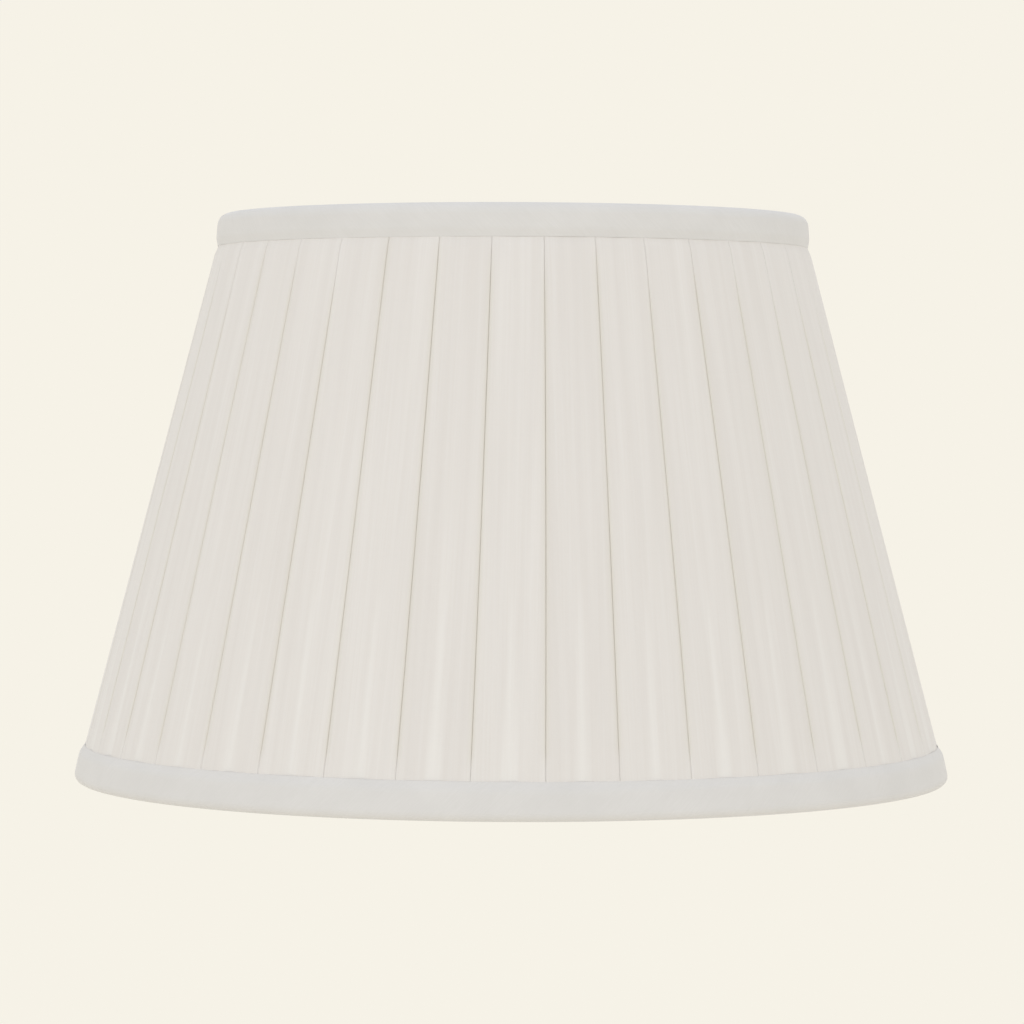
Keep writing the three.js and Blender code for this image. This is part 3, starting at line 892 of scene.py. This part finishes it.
def make_struts():
    """Straight wires from ring to ring on the frame's cone, with a bead at each weld."""
    foot = np.array([BOTTOM_RING_RADIUS, BOTTOM_RING_Z])
    head = np.array([TOP_RING_RADIUS, TOP_RING_Z])
    along = (head - foot) / np.linalg.norm(head - foot)
    line = spaced(np.stack([foot + along * RING_WIRE / 2, head - along * RING_WIRE / 2]), 1.5 * MM)
    make_wires("strut_wire", "strut", line, welded(line, STRUT_WIRE, 0.3, 1.8 * MM), STRUT_AZIMUTHS)


def make_arms():
    """Spider arms: from under the top ring in through the lining, down a slope and level to the hoop."""
    bend_in = 8 * MM
    corners = [
        (ARM_OUTER_END, ARM_Z), (lining_inside(ARM_Z) - bend_in, ARM_Z),
        (ARM_INNER_END + bend_in, ARM_HOOP_Z), (ARM_INNER_END - FIT_GAP, ARM_HOOP_Z),
    ]
    line = spaced(eased(corners, [0, 26 * MM, 26 * MM, 0], steps=10), 0.8 * MM)
    radii = welded(line, ARM_WIRE, 0.28, 1.4 * MM)
    make_wires("spider_arm_wire", "spider_arm", line, radii, ARM_AZIMUTHS, sides=24)


# ---- Gimbal fitter ----

def pierced(p, q, hole, block, reach):
    """Moves grid points round a hole. Inside the square |p|, |q| <= block the faces are left out; the square's
    edge goes to the hole's circle, and the change fades out at the square of half-width reach."""
    square = np.maximum(np.abs(p), np.abs(q))
    away = np.hypot(p, q)
    away = np.where(away == 0, 1, away)
    rim = hole + (square - block) * (reach - hole) / (reach - block)
    fade = np.clip((square - block) / (reach - block), 0, 1)
    moved = [fade * v + (1 - fade) * rim * v / away for v in (p, q)]
    return [np.where(square < reach, new, old) for new, old in zip(moved, (p, q))]


def make_hoop():
    """The gimbal hoop: an upright strip of steel bent to a ring, with a hole for each pivot rivet. Strip
    coordinates p round the ring and q up it are measured from the nearer hole."""
    radius = HOOP_OUTSIDE - HOOP_THICKNESS / 2
    block, reach, fine = 1.6 * MM, 3.2 * MM, 17
    half_turn = math.pi * radius
    near = np.linspace(-reach, reach, fine)
    far = np.linspace(reach, half_turn - reach, 64)[1:-1]
    p = np.concatenate([near, far, near + half_turn, far + half_turn])
    local = (p + half_turn / 2) % half_turn - half_turn / 2
    q = np.concatenate([[-HOOP_HEIGHT / 2, -4 * MM], near, [4 * MM, HOOP_HEIGHT / 2]])
    local, q = np.meshgrid(local, q)
    moved_p, moved_q = pierced(local, q, RIVET_HOLE, block, reach)
    azimuth = (p + moved_p - local) / radius
    points = joined(radius * np.cos(azimuth), radius * np.sin(azimuth), HOOP_Z + moved_q)
    square = np.maximum(np.abs(local), np.abs(q))
    inside = square < block * 1.001
    inside = np.concatenate([inside, inside[:, :1]], axis=1)
    keep = ~(inside[:-1, :-1] & inside[:-1, 1:] & inside[1:, 1:] & inside[1:, :-1])
    strip = grid(points, around=True, keep=keep)
    hoop = piece("gimbal_hoop_strip", "gimbal_hoop", strip, slot="white_wire", weld=True)
    thicken(hoop, HOOP_THICKNESS, 0, edge=0.28 * MM)


def ear_outline():
    """The ear's outline about the pivot, clockwise seen from outside: along the bend from right to left, up
    the left side, over the half round and down the right side."""
    half, drop = EAR_WIDTH / 2, HOOP_Z - (FITTER_MIDDLE + EAR_BEND)
    across = np.linspace(half, -half, 11)
    up = np.linspace(-drop, 0, 7)[1:-1]
    over = np.radians(np.linspace(180, 0, 21))
    top = half * joined(np.cos(over), np.sin(over))
    return np.concatenate([joined(across, -drop), joined(-half, up), top, joined(half, up[::-1])])


def fitter_grids():
    """The fitter ring's middle surface: a washer, and for each ear a bent foot and an upright face with a
    hole. Their shared points meet, so that they weld into one sheet."""
    outline = ear_outline()
    y = outline[10::-1, 0]  # across the bend
    half_angle = math.asin(EAR_WIDTH / 2 / FITTER_RADIUS)
    plain = np.linspace(half_angle, math.pi - half_angle, 34)[1:-1]
    ear_azimuths = np.arcsin(y / FITTER_RADIUS)
    azimuths = np.concatenate([ear_azimuths, plain, ear_azimuths + math.pi, plain + math.pi])
    radii = np.linspace(FITTER_BORE / 2, FITTER_RADIUS, 6)
    washer = turned(joined(radii, FITTER_MIDDLE), azimuths)

    rim = joined(np.sqrt(FITTER_RADIUS ** 2 - y ** 2), y, FITTER_MIDDLE)
    turn = np.radians(np.linspace(-90, 0, 9))[:, None]
    bend_x = EAR_X - EAR_BEND + EAR_BEND * np.cos(turn)
    bend_z = FITTER_MIDDLE + EAR_BEND + EAR_BEND * np.sin(turn)
    foot = np.concatenate([rim[None], joined(bend_x, y, bend_z)])

    towards = outline / np.linalg.norm(outline, axis=1)[:, None]
    share = np.linspace(0, 1, 6)[:, None, None]
    face = RIVET_HOLE * towards * (1 - share) + outline * share
    ear = joined(EAR_X, face[..., 0], HOOP_Z + face[..., 1])
    turned_round = np.array([-1, -1, 1])
    return [
        grid(washer, around=True), grid(foot), grid(ear, around=True),
        grid(foot * turned_round), grid(ear * turned_round, around=True),
    ]


def make_fitter():
    grids = fitter_grids()
    fitter = piece("fitter_washer", "fitter_ring", *grids, slot="plated_steel", body="fitter", weld=True)
    thicken(fitter, FITTER_THICKNESS, 0, edge=0.25 * MM)


def make_rivet(name, node, way):
    """A pivot rivet: its outline turned about the pivot line. The outer head is domed with a small flat, and
    the inner end is spread, with a dimple where it was set."""
    low, high = box("pivot_rivet_right")
    head = high[2] - HOOP_Z
    inner_face, outer_face = EAR_X - FITTER_THICKNESS / 2 - FIT_GAP, HOOP_OUTSIDE + FIT_GAP
    corners = [
        (0, low[0] + 0.45 * MM), (1.0 * MM, low[0] + 0.35 * MM), (1.5 * MM, low[0]),
        (2.3 * MM, low[0] + 0.1 * MM), (2.75 * MM, inner_face - 0.35 * MM), (2.5 * MM, inner_face),
        (RIVET_SHANK, inner_face), (RIVET_SHANK, outer_face), (head, outer_face),
        (head - 0.15 * MM, outer_face + 0.45 * MM), (1.6 * MM, high[0]), (0, high[0]),
    ]
    bends = np.array([0, 0.3, 0.25, 0.3, 0.2, 0.1, 0.1, 0.1, 0.12, 0.6, 1.2, 0]) * MM
    outline = eased(corners, bends, steps=4)
    about_z = turned(outline, full_turn(40))
    along_x = about_z[..., [2, 0, 1]] * np.array([way, way, 1])
    points = along_x + np.array([0, 0, HOOP_Z])
    piece(name, node, grid(points, around=True), slot="plated_steel", body="fitter", weld=True)


def make_reducer():
    """The reducer: a flanged plastic ring with eased edges, and three low ribs that grip the fitter's bore."""
    low, high = box("reducer_ring")
    flange, spigot = high[0], FITTER_BORE / 2 - FIT_GAP
    bore, shoulder = REDUCER_BORE / 2, high[2] - REDUCER_THICKNESS
    corners = [
        (bore, low[2]), (spigot, low[2]), (spigot, shoulder), (flange, shoulder), (flange, high[2]),
        (bore, high[2]), (bore, low[2]),
    ]
    bends = np.array([0, 0.35, 0.15, 0.4, 0.5, 0.6, 0]) * MM
    outline = spaced(eased(corners, bends), 0.35 * MM)[:-1]
    azimuth = full_turn(120)
    ribs = np.exp(-(((azimuth[:, None] - full_turn(3) - 0.5) * spigot / (0.9 * MM)) ** 2)).sum(axis=1)
    on_spigot = ease((outline[:, :1] - spigot + 0.4 * MM) / (0.3 * MM)) * (outline[:, 1:] < shoulder - 0.1 * MM)
    radius = outline[:, :1] + 0.15 * MM * ribs * on_spigot
    points = turned(joined(radius, outline[:, 1:]), azimuth)
    collar = grid(points, around=True, loop=True)
    piece("reducer_collar", "reducer_ring", collar, slot="white_plastic", body="reducer", weld=True)


make_cover()
make_bindings()
make_lining()
for number, azimuth in enumerate(ARM_AZIMUTHS, 1):
    make_neatener(number, azimuth)
make_rings()
make_struts()
make_arms()
make_hoop()
make_fitter()
make_rivet("rivet_right", "pivot_rivet_right", 1)
make_rivet("rivet_left", "pivot_rivet_left", -1)
make_reducer()


# ---- Stage, light and camera ----

FLOOR_DROP = 0.25  # the shade hangs as on a lamp, clear of the floor


def make_stage():
    """A pale round sweep: a flat floor that curves up into a wall all round. Most of its tone is its own, so
    that it stays even, and the rest takes the lamps' light."""
    sweep = Finish("stage", {"Roughness": 0.9, "Specular IOR Level": 0.0})
    own_tone = (0.922, 0.888, 0.799)
    sweep.surface(Base_Color=(0.03, 0.029, 0.027), Emission_Color=own_tone, Emission_Strength=0.97)
    outline = eased([(0, 0), (4.2, 0), (4.2, 1.65)], [0, 1.0, 0], steps=16)
    points = turned(outline, full_turn(96)) - np.array([0, 0, FLOOR_DROP])
    stage = mesh_object("stage_sweep", [grid(points[:, ::-1], around=True)], sweep.material, weld=True)


def make_lamp(name, kind, place, energy, size, target=None):
    """A lamp of a size in metres, turned to its target."""
    lamp = bpy.data.lights.new(name, kind)
    lamp.energy = energy
    lamp.color = (0.94, 0.97, 1.0)
    if kind == "AREA":
        lamp.size = size
    else:
        lamp.shadow_soft_size = size
    made = bpy.data.objects.new(name, lamp)
    bpy.context.scene.collection.objects.link(made)
    made.location = place
    if target is not None:
        made.rotation_euler = (Vector(target) - Vector(place)).to_track_quat("-Z", "Y").to_euler()
    made.visible_camera = False
    return made


def make_light():
    """Even light from all round, a broad key from the front right, a fill from the left, and a faint lamp
    inside the shade."""
    world = bpy.data.worlds.new("studio")
    world.use_nodes = True
    sky = world.node_tree.nodes["Background"]
    sky.inputs["Color"].default_value = (0.972, 0.985, 1.0, 1.0)
    sky.inputs["Strength"].default_value = 0.95
    bpy.context.scene.world = world
    middle = (0, 0, SHADE_HEIGHT / 2)
    make_lamp("key", "AREA", (0.9, -2.5, 1.1), 5.5, 1.2, middle)
    make_lamp("fill", "AREA", (-1.8, -1.6, 0.9), 4, 1.4, middle)
    make_lamp("inside", "POINT", (0, 0, 0.1), 0.02, 0.03)


def make_camera():
    """A long lens in front of the shade, a little above its middle, tilted slightly down."""
    camera = bpy.data.cameras.new("camera")
    camera.lens = 141.7
    camera.sensor_width = 36
    camera.clip_start, camera.clip_end = 0.05, 30
    made = bpy.data.objects.new("camera", camera)
    bpy.context.scene.collection.objects.link(made)
    made.location = (0, -1.653, 0.1550)
    made.rotation_mode = "QUATERNION"
    tilt, roll = math.radians(90 - 1.59), math.radians(0.2)
    made.rotation_quaternion = Euler((tilt, 0, 0)).to_quaternion() @ Quaternion((0, 0, 1), roll)
    bpy.context.scene.camera = made


make_stage()
make_light()
make_camera()
bpy.context.scene.view_settings.view_transform = "Standard"
